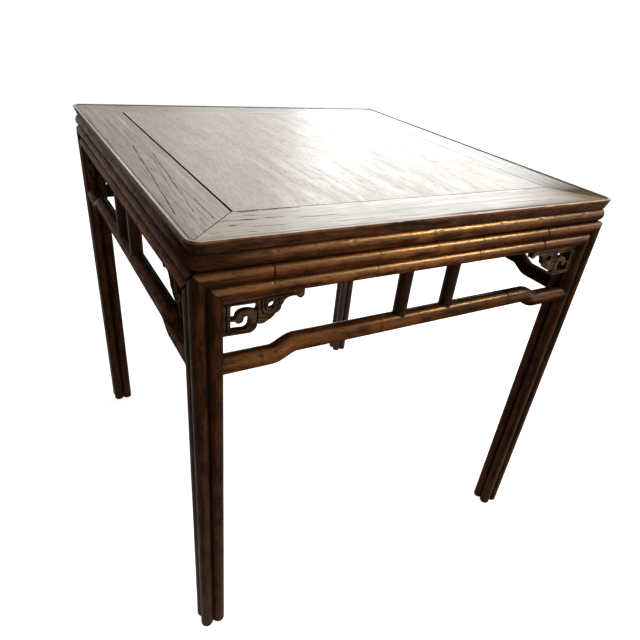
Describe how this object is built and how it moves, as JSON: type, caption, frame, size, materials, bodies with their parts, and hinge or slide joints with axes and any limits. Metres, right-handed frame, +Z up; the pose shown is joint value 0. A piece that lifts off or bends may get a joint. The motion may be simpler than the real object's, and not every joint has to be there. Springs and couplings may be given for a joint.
{
  "type": "eight immortals table",
  "caption": "Square Chinese dining table with a framed floating-panel top, reeded aprons mitred into lobed legs, humpback stretchers, round struts and openwork carved corner spandrels",
  "frame": {"origin": "on the floor, under the middle of the top", "axes": "+X to the right along the front edge, -Y to the front, +Z up"},
  "size_m": [0.85, 0.876, 0.852],
  "materials": {
    "frame_wood": "worn dark lacquer over open-grained hardwood, satin, paler along the rim",
    "panel_wood": "worn dark lacquer over open-grained hardwood, satin with a dusty bloom",
    "moulding_wood": "dark brown lacquer, semi-gloss, rubbed at the corners",
    "apron_wood": "warm brown lacquer, semi-gloss, rubbed along the reeds",
    "leg_wood": "near-black brown lacquer, satin, rubbed along the lobes",
    "stretcher_wood": "warm brown lacquer, semi-gloss, rubbed along the top",
    "spandrel_wood": "warm brown lacquer, satin, dark in the carved grooves",
    "batten_wood": "bare dusty wood, matte",
    "peg_bamboo": "bare bamboo, matte"
  },
  "bodies": {
    "root": {"apron_back": "apron_wood", "apron_front": "apron_wood", "apron_left": "apron_wood", "apron_right": "apron_wood", "batten_back": "batten_wood", "batten_front": "batten_wood", "frame_back": "frame_wood", "frame_front": "frame_wood", "frame_left": "frame_wood", "frame_right": "frame_wood", "leg_back_left": "leg_wood", "leg_back_right": "leg_wood", "leg_front_left": "leg_wood", "leg_front_right": "leg_wood", "moulding_back": "moulding_wood", "moulding_front": "moulding_wood", "moulding_left": "moulding_wood", "moulding_pegs": "peg_bamboo", "moulding_right": "moulding_wood", "panel_board_left": "panel_wood", "panel_board_middle": "panel_wood", "panel_board_right": "panel_wood", "spandrel_back_left": "spandrel_wood", "spandrel_back_right": "spandrel_wood", "spandrel_front_left": "spandrel_wood", "spandrel_front_right": "spandrel_wood", "spandrel_left_back": "spandrel_wood", "spandrel_left_front": "spandrel_wood", "spandrel_right_back": "spandrel_wood", "spandrel_right_front": "spandrel_wood", "stretcher_back": "stretcher_wood", "stretcher_front": "stretcher_wood", "stretcher_left": "stretcher_wood", "stretcher_right": "stretcher_wood", "strut_back_left": "stretcher_wood", "strut_back_right": "stretcher_wood", "strut_front_left": "stretcher_wood", "strut_front_right": "stretcher_wood", "strut_left_back": "stretcher_wood", "strut_left_front": "stretcher_wood", "strut_right_back": "stretcher_wood", "strut_right_front": "stretcher_wood"}
  },
  "joints": []
}
